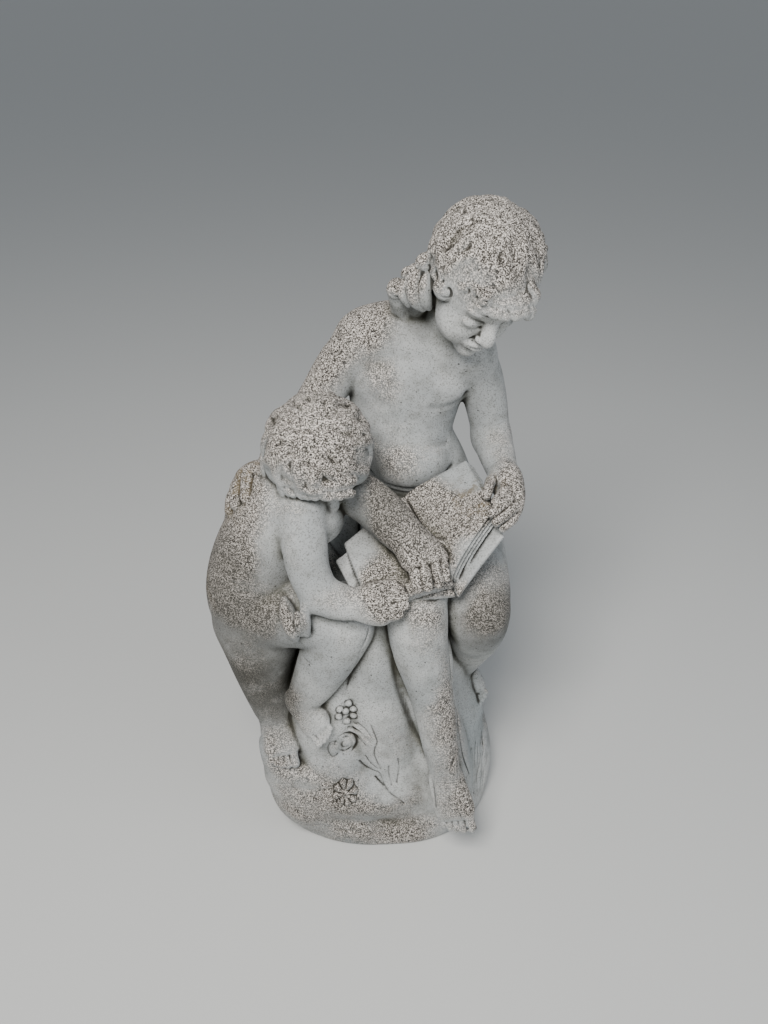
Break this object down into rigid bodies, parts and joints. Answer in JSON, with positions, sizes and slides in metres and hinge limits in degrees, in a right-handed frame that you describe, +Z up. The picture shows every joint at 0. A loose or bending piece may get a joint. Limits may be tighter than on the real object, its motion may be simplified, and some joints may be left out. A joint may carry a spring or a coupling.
{
  "type": "garden statue",
  "caption": "Cast concrete garden statue: a seated child on a rock holds an open book, and a smaller child stands close and leans over its pages.",
  "frame": {"origin": "middle of the base's flat underside", "axes": "+Z up, -Y towards the front that the seated child faces, +X towards the seated child's left"},
  "size_m": [0.2799, 0.2338, 0.6199],
  "materials": {
    "cast_concrete": "weathered, exposed grain on upper faces"
  },
  "bodies": {
    "root": {"statue_of_two_children_reading": "cast_concrete"}
  },
  "joints": []
}
